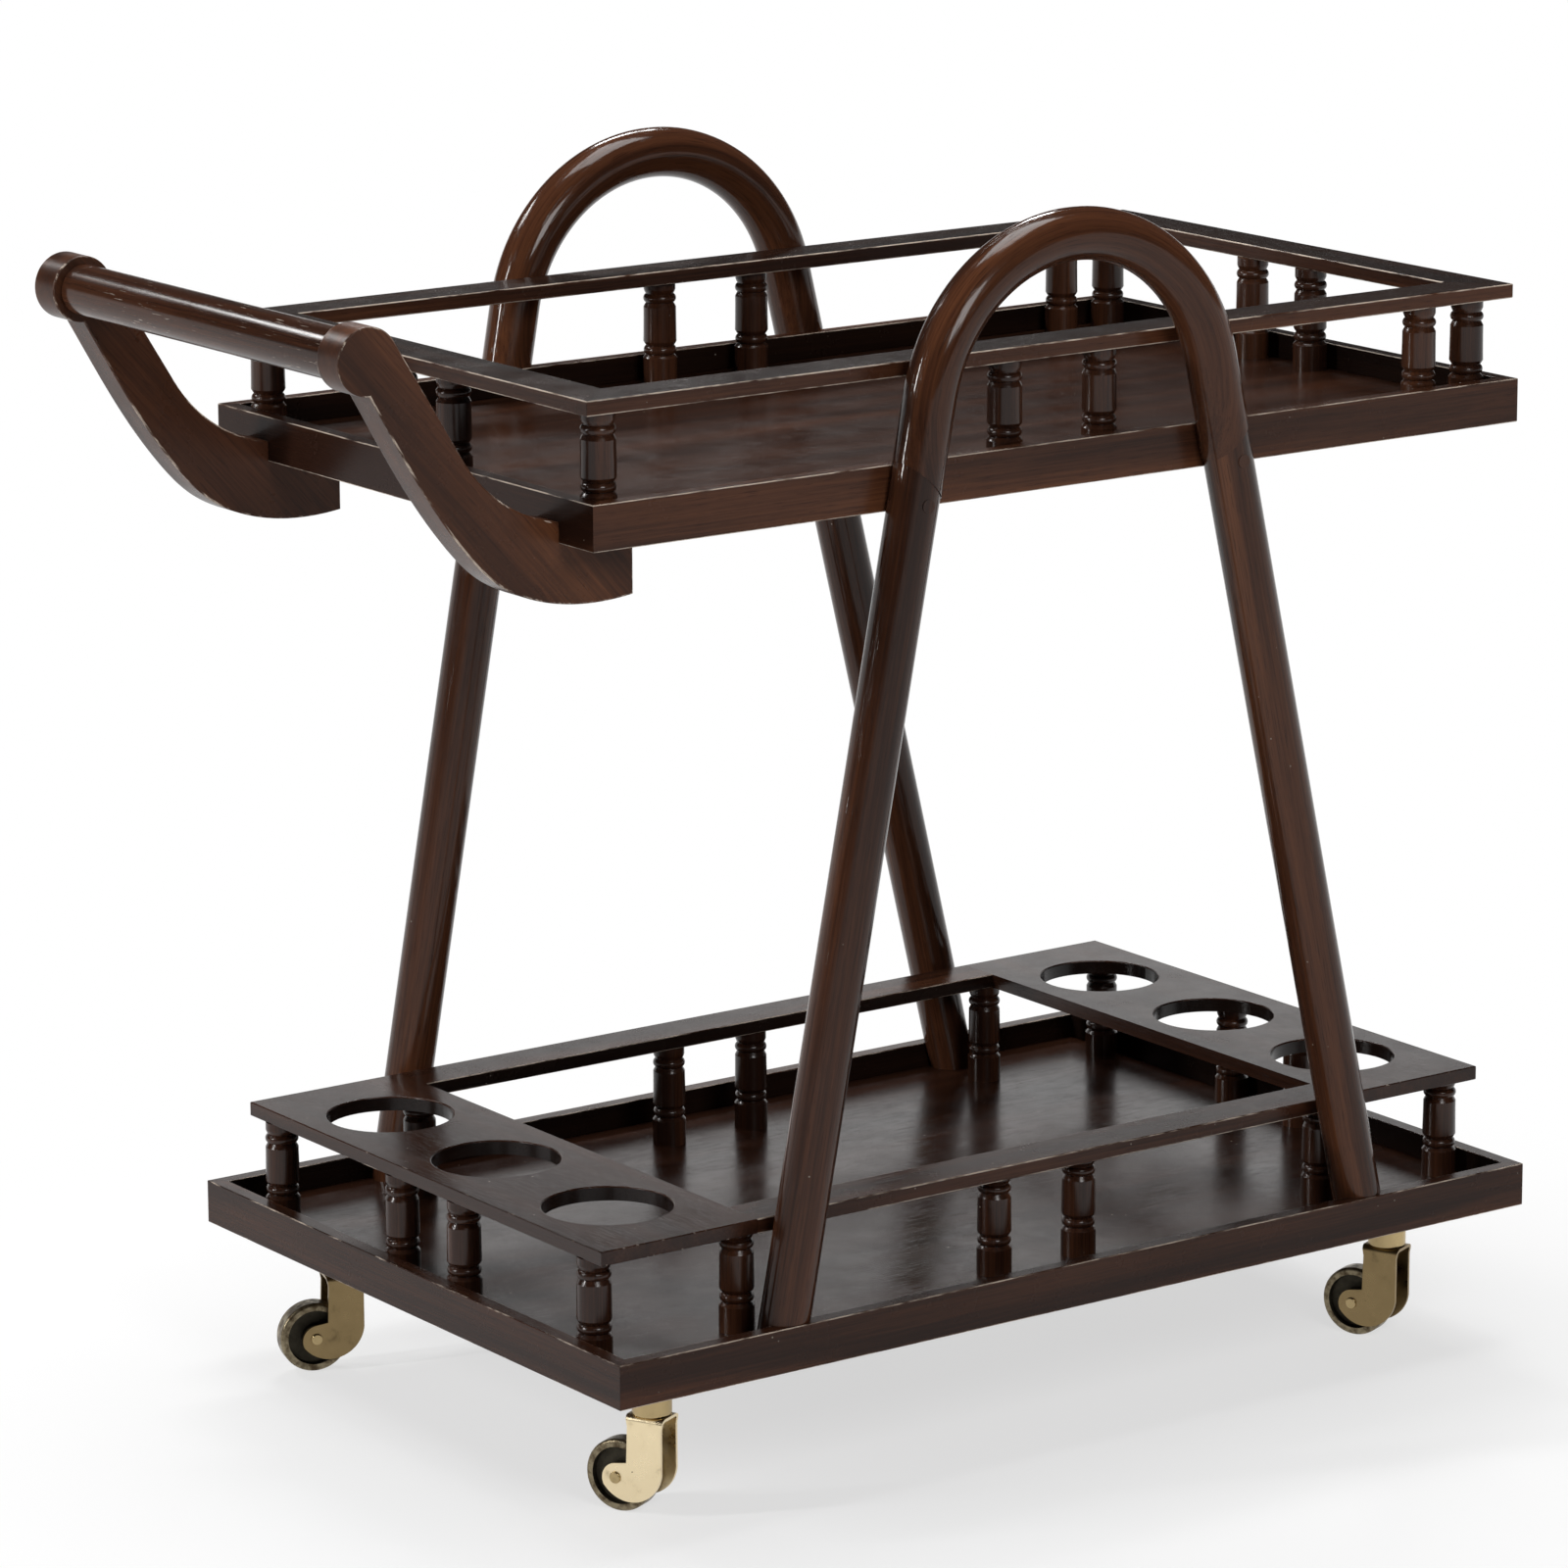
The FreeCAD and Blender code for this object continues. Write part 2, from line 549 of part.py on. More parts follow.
def castor_wheel():
    """Turned wheel with a raised tread ring and a hub, recessed on both sides."""
    half = WHEEL_WIDTH / 2
    web = half - WHEEL_RECESS
    ring = WHEEL_R - WHEEL_RIM
    profile = [
        (AXLE_R + WHEEL_BORE_PLAY, half),
        (WHEEL_HUB_R, half),
        (WHEEL_HUB_R + 0.8, web),
        (ring - 0.8, web),
        (ring, half),
        (WHEEL_R, half),
    ]
    mirrored = [(radius, -across) for radius, across in reversed(profile)]
    corners = [Vector(radius, across, 0) for radius, across in profile + mirrored]
    face = Part.Face(Part.makePolygon(corners + corners[:1]))
    wheel = face.revolve(Vector(0, 0, 0), Y_AXIS, 360)
    tread = []
    for edge in wheel.Edges:
        if edge.Closed and abs(edge.Length - 2 * math.pi * WHEEL_R) < 0.01:
            tread.append(edge)
    wheel = wheel.makeFillet(WHEEL_EDGE, tread)
    return wheel.translated(Vector(TRAIL, 0, WHEEL_R))


def mirror_rows(row):
    """The same row on the far side."""
    return [(x, -y) for x, y in row]


def main():
    pieces = {}
    top_end = HALF_LENGTH - RIM_THICKNESS - SPINDLE_BASE_R - SPINDLE_RIM_PLAY
    top_row = -(TOP_GALLERY_WIDTH / 2 - TOP_ROW_INSET)
    near_x = (-top_end, -TOP_PAIR, TOP_PAIR, HALF_LENGTH - TOP_SECOND_INSET, top_end)
    top_rows = {"near": [(UPPER_SHIFT + x, top_row) for x in near_x]}
    top_rows["far"] = mirror_rows(top_rows["near"])
    for end, sign in (("handle", -1), ("free", 1)):
        top_rows[end] = [(UPPER_SHIFT + sign * top_end, y) for y in (-TOP_END_PAIR, TOP_END_PAIR)]

    low_end = top_end
    low_row = -(LOWER_GALLERY_WIDTH / 2 - LOWER_ROW_INSET)
    side_x = (-LOWER_SEAM_X, -LOWER_PAIR, LOWER_PAIR, LOWER_SEAM_X)
    low_sides = [(LOWER_SHIFT + x, low_row) for x in side_x]
    low_rows = {"near": [(-low_end, low_row)] + low_sides + [(low_end, low_row)]}
    low_rows["far"] = mirror_rows(low_rows["near"])
    for end, sign in (("handle", -1), ("free", 1)):
        low_rows[end] = [(sign * low_end, y) for y in (-LOWER_END_PAIR, LOWER_END_PAIR)]

    castors = {}
    for end, x in (("handle", -1), ("free", 1)):
        for side, y in (("near", -1), ("far", 1)):
            out_x = x * (HALF_LENGTH - CASTOR_INSET_X)
            out_y = y * (BOTTOM_TRAY_WIDTH / 2 - CASTOR_INSET_Y)
            castors[end + "_" + side] = Vector(out_x, out_y, 0)

    low_all = [place for row in low_rows.values() for place in row]
    top_all = [place for row in top_rows.values() for place in row]
    depth = TENON_LENGTH + TENON_PLAY
    stem_holes = []
    for place in castors.values():
        foot = place + Vector(0, 0, BOTTOM_FLOOR_Z - PANEL_THICKNESS)
        stem_holes.append(Part.makeCylinder(STEM_R + STEM_PLAY, STEM_LENGTH + STEM_PLAY, foot))
    bottom_cuts = peg_holes(low_all, BOTTOM_FLOOR_Z - depth, depth) + stem_holes
    pieces.update(tray("bottom", BOTTOM_TRAY_WIDTH, BOTTOM_Z, 0, bottom_cuts))
    top_cuts = peg_holes(top_all, TOP_FLOOR_Z - depth, depth)
    pieces.update(tray("top", TOP_TRAY_WIDTH, TOP_Z, UPPER_SHIFT, top_cuts))

    for side in ("near", "far", "handle", "free"):
        rail = frame_side(
            side, TRAY_LENGTH, TOP_GALLERY_WIDTH, RAIL_WIDTH, RAIL_THICKNESS,
            TOP_GALLERY_Z, TOP_GALLERY_SHIFT, RAIL_EASE,
        )
        pieces["gallery_rail_" + side] = bore(rail, peg_holes(top_all, TOP_GALLERY_Z, depth))
        pieces["gallery_spindles_" + side] = spindle_row(top_rows[side], TOP_FLOOR_Z)
        pieces["lower_spindles_" + side] = spindle_row(low_rows[side], BOTTOM_FLOOR_Z)
    for end in ("handle", "free"):
        pieces["bottle_panel_" + end] = bottle_panel(end, low_all)
    for side in ("near", "far"):
        pieces["side_rail_" + side] = side_rail(side, low_all)

    plugs = []
    for side in ("near", "far"):
        bend, legs, side_plugs = arch(side)
        pieces["arch_bend_" + side] = bend
        for end, leg in legs.items():
            pieces["arch_leg_" + side + "_" + end] = leg
        plugs += side_plugs
        pieces["handle_arm_" + side] = handle_arm(side)
    pieces["arch_plugs"] = Part.makeCompound(plugs)
    pieces["handle_bar"] = handle_bar()

    makers = {"neck": castor_neck(), "fork": castor_fork(), "axle": castor_axle(), "wheel": castor_wheel()}
    for corner, place in castors.items():
        for name, shape in makers.items():
            turned = shape.copy()
            turned.rotate(Vector(0, 0, 0), Z_AXIS, CASTOR_HEADINGS[corner])
            pieces["castor_" + name + "_" + corner] = turned.translated(place)

    os.makedirs("parts", exist_ok=True)
    for name, shape in pieces.items():
        shape.translated(FRAME_SHIFT).exportStep("parts/" + name + ".step")
    print(len(pieces), "pieces written, frame shift", round(FRAME_SHIFT.x, 3))


main()
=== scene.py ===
import json
import math

import bpy
from mathutils import Matrix, Vector


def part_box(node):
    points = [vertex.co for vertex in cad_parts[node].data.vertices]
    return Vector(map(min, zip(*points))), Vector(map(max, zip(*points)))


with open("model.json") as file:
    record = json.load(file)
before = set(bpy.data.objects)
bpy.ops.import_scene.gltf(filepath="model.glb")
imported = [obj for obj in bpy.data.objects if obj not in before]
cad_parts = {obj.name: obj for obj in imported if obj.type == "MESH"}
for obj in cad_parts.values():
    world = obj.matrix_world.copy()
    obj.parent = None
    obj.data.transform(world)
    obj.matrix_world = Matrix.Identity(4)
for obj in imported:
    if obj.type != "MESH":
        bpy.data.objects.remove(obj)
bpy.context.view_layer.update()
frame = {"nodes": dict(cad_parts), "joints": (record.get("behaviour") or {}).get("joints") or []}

# Camera, fitted to the tray corners in the photograph
CAMERA_PLACE = Vector((-2.758155, -3.874770, 1.573850))
CAMERA_AZIMUTH = math.radians(-35.466)
CAMERA_ELEVATION = math.radians(13.355)
CAMERA_ROLL = math.radians(-0.257)
CAMERA_REACH = 100.0
SENSOR_MM = 36.0
LENS_MM = 155.135

# Floor: size and finish, the distances between which it fades to white, and its share of white before
FLOOR_REACH = 60.0
FLOOR_COLOUR = (0.88, 0.88, 0.88, 1)
FLOOR_ROUGHNESS = 0.65
FLOOR_GLOSS = 0.2
FLOOR_CENTRE = (0.05, -0.05, 0.0)
FLOOR_FADE = (0.36, 0.9)
FLOOR_PALE = 0.64

# Low white screen behind the cart
BACKDROP_DISTANCE = 1.25
BACKDROP_HEIGHT = 0.62
BACKDROP_WIDTH = 5.0

# Surroundings: their level, and the upward slopes of view between which the white of the horizon ends
WORLD_LEVEL = 0.03
HORIZON_FADE = (0.02, 0.05)
WHITE = (1, 1, 1, 1)
WHITE_STRENGTH = 1.0
BLACK = (0, 0, 0, 1)

# Softboxes: place, the point each is aimed at, width and height in metres, and power in watts
LAMPS = {
    "left": dict(place=(-2.8, 0.8, 1.5), target=(0.0, 0.0, 0.85), size=(0.16, 1.1), power=42),
    "front": dict(place=(-0.5, -2.8, 2.1), target=(0.0, 0.0, 0.5), size=(1.0, 1.0), power=34),
    "back": dict(place=(1.5, 2.6, 3.0), target=(0.0, 0.0, 0.7), size=(1.2, 0.3), power=42),
    "top": dict(place=(0.3, 0.2, 3.4), target=(0.0, 0.0, 0.0), size=(1.6, 1.6), power=72),
    "bar": dict(place=(-1.15, 2.4, 2.55), target=(-0.3, 0.0, 0.8), size=(0.7, 0.35), power=20),
}

# Grain directions: turns after which X runs along the wood, and the arc that the grain of a bend follows
QUARTER = math.pi / 2
LEG_LEAN_HANDLE = math.radians(11.28)
LEG_LEAN_FREE = math.radians(12.63)
ARM_GRAIN = math.radians(48.0)
ALONG_X = (0, 0, 0)
ALONG_Y = (0, 0, -QUARTER)
ALONG_Z = (0, QUARTER, 0)
ALONG_ARM = (0, -ARM_GRAIN, 0)
ALONG_LEG_HANDLE = (0, -QUARTER - LEG_LEAN_HANDLE, 0)
ALONG_LEG_FREE = (0, -QUARTER + LEG_LEAN_FREE, 0)
BEND_CENTRE = Vector((0.0656, 0.0, 0.7457))
BEND_RADIUS = 0.125

# Woods: how each piece of stock differs from the plain one in wood()
WOODS = {
    "wood_along_x": dict(lift=-0.05, polish=0.04, wear_and_glint=0.75),
    "wood_along_y": dict(turn=ALONG_Y, offset=1.3, lift=-0.07, polish=0.04, wear_and_glint=0.4),
    "wood_upper_x": dict(offset=9.4, lift=0.01, polish=0.05, wear_and_glint=0.85),
    "wood_rail_x": dict(offset=11.6, lift=0.01, polish=0.05, wear_and_glint=0.85),
    "wood_rail_y": dict(turn=ALONG_Y, offset=12.8, lift=-0.01, polish=0.05, gloss=0.15, wear_and_glint=0.85),
    # The top tray's end rims are stained much darker than its long rims: painted shade on their tops and
    # ends
    "wood_upper_y": dict(turn=ALONG_Y, offset=2.2, lift=-0.09, polish=0.05, gloss=0.12, wear_and_glint=0.85),
    "wood_panel": dict(offset=2.9, lift=-0.07, polish=0.07, gloss=0.42, contrast=0.45),
    "wood_panel_top": dict(offset=2.9, lift=-0.07, polish=0.07, gloss=0.22, contrast=0.45),
    "wood_bottles": dict(
        turn=ALONG_Y, offset=8.3, lift=-0.08, polish=0.06, gloss=0.28, wear_and_glint=0.15, contrast=0.5),
    "wood_turned": dict(turn=ALONG_Z, offset=0.6, lift=-0.05, polish=0.08, gloss=0.35),
    "wood_bar": dict(turn=ALONG_Y, offset=4.2, lift=-0.03, polish=0.13, gloss=0.24, flecks=0.8, pits=0.05),
    "wood_arm": dict(turn=ALONG_ARM, offset=5.1, lift=0.02, wear_and_glint=0.5, contrast=0.7),
    "wood_bend": dict(curved=True, offset=3.7, lift=0.01, polish=0.19, gloss=0.26),
    "wood_leg_handle": dict(turn=ALONG_LEG_HANDLE, offset=6.4, lift=0.01, polish=0.19, gloss=0.26),
    "wood_leg_free": dict(turn=ALONG_LEG_FREE, offset=7.7, lift=0.01, polish=0.19, gloss=0.26),
}

# Wood colours, linear
WOOD_DARK = (0.020, 0.0080, 0.0048, 1)
WOOD_MID = (0.074, 0.0270, 0.0128, 1)
WOOD_LIGHT = (0.165, 0.0610, 0.0250, 1)
# Pale edge colour: partly rubbed-down wood, partly a painted highlight for the glint along eased edges
WOOD_WORN_AND_GLINT = (0.60, 0.50, 0.41, 1)
# Near-black for marked faces: painted shade on rail tops and on the inward faces of rims, and in the bores
# painted shade over darker end-grain stain
WOOD_STAIN_AND_SHADE = (0.0060, 0.0036, 0.0028, 1)
WOOD_SPECK = (0.45, 0.40, 0.34, 1)

# Noise in the wood: frequencies per metre, one along the grain and two across it, or one for all directions
FIGURE = dict(scale=(1.6, 34, 34), detail=4.0, roughness=0.55, distortion=0.35)
FIBRE = dict(scale=(9, 520, 520), detail=5.0, roughness=0.62)
PORES = dict(scale=(46, 1500, 1500), detail=1.0)
CLOUDS = dict(scale=(3.2, 7.0, 7.0), detail=3.0)
# Noise that places the pale edges, which are partly a painted highlight for their glint
WEAR_AND_GLINT = dict(scale=(26, 190, 190), detail=5.0, roughness=0.7)
SCRATCHES = dict(scale=(55, 1100, 1100), detail=2.0)
RUBBING = dict(scale=14.0, detail=2.0)
SPECK_PATCHES = dict(scale=17.0, detail=2.0)
SHEEN = dict(scale=24.0, detail=5.0, roughness=0.65)
WAVES = dict(scale=9.0, detail=2.0)
SPECK_CELLS = 74.0
OFFSET_RATIOS = (1.0, 0.37, 0.71)

# Wood: the noise values at which each effect begins and is full, and how far the edge setting of a wood
# lowers the span of its pale edges
MID_SPAN = (0.36, 0.62)
LIGHT_SPAN = (0.50, 0.74)
CLOUD_SPAN = (0.3, 0.7)
PORE_SPAN = (0.60, 0.68)
# Spans of the pale edges, partly rubbed wood and partly a painted highlight for their glint
WEAR_AND_GLINT_SPAN = (0.62, 0.74)
WEAR_AND_GLINT_DROP = (0.3, 0.2)
SCRATCH_SPAN = (0.66, 0.72)
RUBBING_SPAN = (0.45, 0.65)
SPECK_SPAN = (0.055, 0.025)
SPECK_PATCH_SPAN = (0.56, 0.62)
SHEEN_SPAN = (0.25, 0.75)

# Wood: how strongly each effect shows, and depths of its relief in metres
FIGURE_SHARE = 0.70
FIBRE_SHARE = 0.30
MIDDLE_TONE = 0.5
PORE_SHARE = 0.55
# Share of the pale edges, partly rubbed wood and partly a painted highlight for their glint
WEAR_AND_GLINT_SHARE = 0.85
# Share of the near-black on marked faces: painted shade, with end-grain stain in the bores
STAIN_AND_SHADE_SHARE = 0.85
SPECK_SHARE = 0.6
LACQUER_IOR = 1.45
LACQUER_ROUGHNESS = (0.25, 0.34)
WEAR_ROUGHNESS = 0.2
FIBRE_RELIEF = 0.5
PORE_DEPTH = 0.00025
WAVE_STRENGTH = 0.04
WAVE_DEPTH = 0.004

# Castor metal colours, linear
BRASS_PALE = (0.86, 0.72, 0.47, 1)
BRASS_AGED = (0.27, 0.195, 0.095, 1)
BRASS_RIVET = (0.46, 0.35, 0.18, 1)
BRASS_STAIN = (0.075, 0.052, 0.028, 1)
BRONZE_RING = (0.27, 0.225, 0.145, 1)
BRONZE_WEB = (0.052, 0.045, 0.032, 1)

# Brasses: the clean and the aged colour of each; the pale brass of the near fork is partly painted light
# for the lamps on it
BRASSES = {
    "brass_pale": (BRASS_PALE, BRASS_AGED),
    "brass_aged": (BRASS_AGED, BRASS_STAIN),
    "brass_rivet": (BRASS_RIVET, BRASS_STAIN),
}

# Brass: noise, the values at which each effect begins and is full, and the relief of its drawing lines
TARNISH = dict(scale=70.0, detail=5.0, roughness=0.65)
SPOTS = dict(scale=420.0, detail=2.0)
DRAWING_LINES = dict(scale=(900, 900, 40), detail=3.0)
TARNISH_SPAN = (0.56, 0.92)
SPOT_SPAN = (0.76, 0.82)
BRASS_ROUGHNESS_SPAN = (0.3, 0.7)
BRASS_ROUGHNESS = (0.24, 0.42)
LINE_STRENGTH = 0.12
LINE_DEPTH = 0.0002
BRASS_METALLIC = 1.0

# Bronze: noise, the values at which each effect begins and is full, and the relief of the casting
GRIT = dict(scale=700.0, detail=4.0, roughness=0.7)
PATINA = dict(scale=160.0, detail=4.0, roughness=0.6)
PATINA_SPAN = (0.35, 0.70)
BRONZE_ROUGHNESS_SPAN = (0.3, 0.7)
BRONZE_ROUGHNESS = (0.28, 0.46)
WEB_ROUGHNESS = 0.25
GRIT_STRENGTH = 0.35
GRIT_DEPTH = 0.0006
BRONZE_METALLIC = 0.9

# Face tests: limits for one part of a unit normal, places in metres, and the turn that leaves an edge sharp
SQUARE_NORMAL = 0.02
TILTED_NORMAL = 0.03
UPRIGHT_NORMAL = 0.1
FLAT_NORMAL = 0.995
BORE_INSET = 0.004
WEB_RADIUS = 0.0207
WEB_DEPTH = 0.0074
SHARP_ANGLE = math.radians(28)

# Sockets of a Mix node that blends colours
MIX_FACTOR = 0
MIX_FIRST = 6
MIX_SECOND = 7
MIX_RESULT = 2


class Nodes:
    """A node tree under construction: adds nodes and feeds them values or other nodes' sockets."""

    def __init__(self, tree):
        self.tree = tree

    def feed(self, socket, value):
        if isinstance(value, bpy.types.NodeSocket):
            self.tree.links.new(value, socket)
        else:
            socket.default_value = value

    def add(self, kind, inputs, output=0, **settings):
        node = self.tree.nodes.new(kind)
        for name, value in settings.items():
            setattr(node, name, value)
        for key, value in inputs.items():
            self.feed(node.inputs[key], value)
        return node.outputs[output]

    def math(self, operation, first, second=0.0):
        return self.add("ShaderNodeMath", {0: first, 1: second}, operation=operation)

    def plus(self, first, second):
        return self.math("ADD", first, second)

    def minus(self, first, second):
        return self.math("SUBTRACT", first, second)

    def times(self, first, second):
        return self.math("MULTIPLY", first, second)

    def split(self, vector):
        """The three parts of a vector."""
        node = self.tree.nodes.new("ShaderNodeSeparateXYZ")
        self.feed(node.inputs[0], vector)
        return node.outputs

    def noise(self, vector, scale, detail, roughness=0.5, distortion=0.0):
        """Noise at one frequency, or at one for each axis."""
        if isinstance(scale, tuple):
            vector = self.add("ShaderNodeVectorMath", {0: vector, 1: scale}, operation="MULTIPLY")
            scale = 1.0
        inputs = {"Vector": vector, "Scale": scale, "Detail": detail, "Roughness": roughness}
        inputs["Distortion"] = distortion
        return self.add("ShaderNodeTexNoise", inputs)

    def ramp(self, value, span, result=(0.0, 1.0)):
        """A smooth step from one result to the other while the value crosses the span."""
        inputs = {"Value": value, "From Min": span[0], "From Max": span[1]}
        inputs["To Min"] = result[0]
        inputs["To Max"] = result[1]
        return self.add("ShaderNodeMapRange", inputs, interpolation_type="SMOOTHSTEP")

    def blend(self, factor, first, second):
        inputs = {MIX_FACTOR: factor, MIX_FIRST: first, MIX_SECOND: second}
        return self.add("ShaderNodeMix", inputs, output=MIX_RESULT, data_type="RGBA")

    def bump(self, height, strength, distance, normal=None):
        inputs = {"Height": height, "Strength": strength, "Distance": distance}
        if normal is not None:
            inputs["Normal"] = normal
        return self.add("ShaderNodeBump", inputs)

    def attribute(self, name):
        return self.add("ShaderNodeAttribute", {}, output="Fac", attribute_name=name)

    def place(self):
        return self.add("ShaderNodeTexCoord", {}, output="Object")


class Shader(Nodes):
    """A new material with one principled surface."""

    def __init__(self, name):
        self.material = bpy.data.materials.new(name)
        self.material.use_nodes = True
        super().__init__(self.material.node_tree)
        self.tree.nodes.clear()
        self.output = self.tree.nodes.new("ShaderNodeOutputMaterial")
        self.surface = self.tree.nodes.new("ShaderNodeBsdfPrincipled")
        self.show(self.surface.outputs[0])

    def show(self, surface):
        """Make a surface the one that the material shows."""
        self.feed(self.output.inputs["Surface"], surface)

    def fill(self, values):
        """Feed the principled surface and hand over the material."""
        for name, value in values.items():
            self.feed(self.surface.inputs[name], value)
        return self.material


def straight_grain(shader, turn):
    """Object coordinates turned so that X runs along the grain."""
    inputs = {"Vector": shader.place(), "Rotation": turn}
    return shader.add("ShaderNodeVectorRotate", inputs, rotation_type="EULER_XYZ")


def bent_grain(shader):
    """Object coordinates unrolled round the arch, so that X runs along the bend."""
    place = shader.split(shader.place())
    across = shader.minus(place["X"], BEND_CENTRE.x)
    above = shader.minus(place["Z"], BEND_CENTRE.z)
    along = shader.times(shader.math("ARCTAN2", across, above), BEND_RADIUS)
    squares = shader.plus(shader.math("POWER", across, 2.0), shader.math("POWER", above, 2.0))
    radius = shader.math("SQRT", squares)
    return shader.add("ShaderNodeCombineXYZ", {"X": along, "Y": place["Y"], "Z": radius})


def stain(shader, grain, fibre, lift, contrast):
    """Stain colour: dark to mid brown with the figure, and light brown where a cloud lies over it."""
    figure = shader.times(shader.noise(grain, **FIGURE), FIGURE_SHARE * contrast)
    threads = shader.times(fibre, FIBRE_SHARE * contrast)
    tone = shader.plus(shader.plus(figure, threads), MIDDLE_TONE - MIDDLE_TONE * contrast)
    warm = shader.ramp(tone, [value - lift for value in MID_SPAN])
    light = shader.ramp(tone, [value - lift for value in LIGHT_SPAN])
    cloud = shader.ramp(shader.noise(grain, **CLOUDS), CLOUD_SPAN)
    colour = shader.blend(warm, WOOD_DARK, WOOD_MID)
    return shader.blend(shader.times(light, cloud), colour, WOOD_LIGHT)


def worn_and_glinting_edges(shader, grain, wear_and_glint):
    """1 where an eased edge is pale, 0 elsewhere: rubbed down to pale wood, and a painted highlight that
    stands for the glint of the eased edge.
    """
    span = [value - wear_and_glint * drop for value, drop in zip(WEAR_AND_GLINT_SPAN, WEAR_AND_GLINT_DROP)]
    rubbed = shader.ramp(shader.noise(grain, **WEAR_AND_GLINT), span)
    return shader.times(shader.attribute("edge"), rubbed)


def specks(shader):
    """1 in small pale specks that lie in patches, 0 elsewhere."""
    distance = shader.add("ShaderNodeTexVoronoi", {"Vector": shader.place(), "Scale": SPECK_CELLS})
    patch = shader.noise(shader.place(), **SPECK_PATCHES)
    return shader.times(shader.ramp(distance, SPECK_SPAN), shader.ramp(patch, SPECK_PATCH_SPAN))


def scratches(shader, grain):
    """1 in fine scratches along the grain that lie in patches, 0 elsewhere."""
    lines = shader.ramp(shader.noise(grain, **SCRATCHES), SCRATCH_SPAN)
    patch = shader.ramp(shader.noise(grain, **RUBBING), RUBBING_SPAN)
    return shader.times(lines, patch)


def lacquer_roughness(shader, worn_and_glint, polish):
    """Uneven satin lacquer, smoother with polish and dull on the pale rubbed edges."""
    limits = [value - polish for value in LACQUER_ROUGHNESS]
    sheen = shader.ramp(shader.noise(shader.place(), **SHEEN), SHEEN_SPAN, limits)
    return shader.plus(sheen, shader.times(worn_and_glint, WEAR_ROUGHNESS))


def wood_relief(shader, fibre, pores, pits):
    """Fibres and sunken pores over slow waves of the surface."""
    height = shader.minus(shader.times(fibre, FIBRE_RELIEF), pores)
    normal = shader.bump(height, pits, PORE_DEPTH)
    waves = shader.noise(shader.place(), **WAVES)
    return shader.bump(waves, WAVE_STRENGTH, WAVE_DEPTH, normal)


def wood(name, turn=ALONG_X, curved=False, offset=0.0, lift=0.0, polish=0.0, gloss=0.2, wear_and_glint=0.35,
         contrast=0.85, flecks=0.0, pits=0.16):
    """Dark stained wood under satin lacquer, with figure, pores, pale edges and small specks; the pale
    edges are partly rubbed wood and partly a painted highlight for their glint, and marked faces get
    painted shade.

    Turn and curved say how the grain runs, and offset takes another part of the figure.
    Lift lightens the stain and contrast strengthens the figure. Polish smooths the lacquer, gloss
    makes it reflect more, the edge setting pales the edges as rubbed wood and as a painted highlight for
    their glint, flecks show scratches and pits deepen the pores.
    """
    shader = Shader(name)
    grain = bent_grain(shader) if curved else straight_grain(shader, turn)
    shift = [offset * ratio for ratio in OFFSET_RATIOS]
    grain = shader.add("ShaderNodeVectorMath", {0: grain, 1: shift}, operation="ADD")
    fibre = shader.noise(grain, **FIBRE)
    pores = shader.ramp(shader.noise(grain, **PORES), PORE_SPAN)
    worn_and_glint = worn_and_glinting_edges(shader, grain, wear_and_glint)
    stain_and_shade = shader.attribute("stain_and_shade")
    colour = stain(shader, grain, fibre, lift, contrast)
    colour = shader.blend(shader.times(pores, PORE_SHARE), colour, WOOD_DARK)
    # Pale edges: partly rubbed wood, partly a painted highlight for the glint of the eased edges
    colour = shader.blend(shader.times(worn_and_glint, WEAR_AND_GLINT_SHARE), colour, WOOD_WORN_AND_GLINT)
    # Painted shade: marked faces (bore walls, rail tops, inward rim faces) go near-black; in the bores over
    # darker end-grain stain
    colour = shader.blend(shader.times(stain_and_shade, STAIN_AND_SHADE_SHARE), colour, WOOD_STAIN_AND_SHADE)
    colour = shader.blend(shader.times(specks(shader), SPECK_SHARE), colour, WOOD_SPECK)
    if flecks:
        colour = shader.blend(shader.times(scratches(shader, grain), flecks), colour, WOOD_SPECK)
    return shader.fill({
        "Base Color": colour,
        "Roughness": lacquer_roughness(shader, worn_and_glint, polish),
        "Normal": wood_relief(shader, fibre, pores, pits),
        "IOR": LACQUER_IOR,
        "Specular IOR Level": gloss,
    })


def brass(name, clean, aged):
    """Drawn brass strip with faint drawing lines, stains and tarnish."""
    shader = Shader(name)
    place = shader.place()
    tarnish = shader.noise(place, **TARNISH)
    spots = shader.noise(place, **SPOTS)
    lines = shader.noise(place, **DRAWING_LINES)
    colour = shader.blend(shader.ramp(tarnish, TARNISH_SPAN), clean, aged)
    colour = shader.blend(shader.ramp(spots, SPOT_SPAN), colour, BRASS_STAIN)
    return shader.fill({
        "Base Color": colour,
        "Roughness": shader.ramp(tarnish, BRASS_ROUGHNESS_SPAN, BRASS_ROUGHNESS),
        "Normal": shader.bump(lines, LINE_STRENGTH, LINE_DEPTH),
        "Metallic": BRASS_METALLIC,
    })


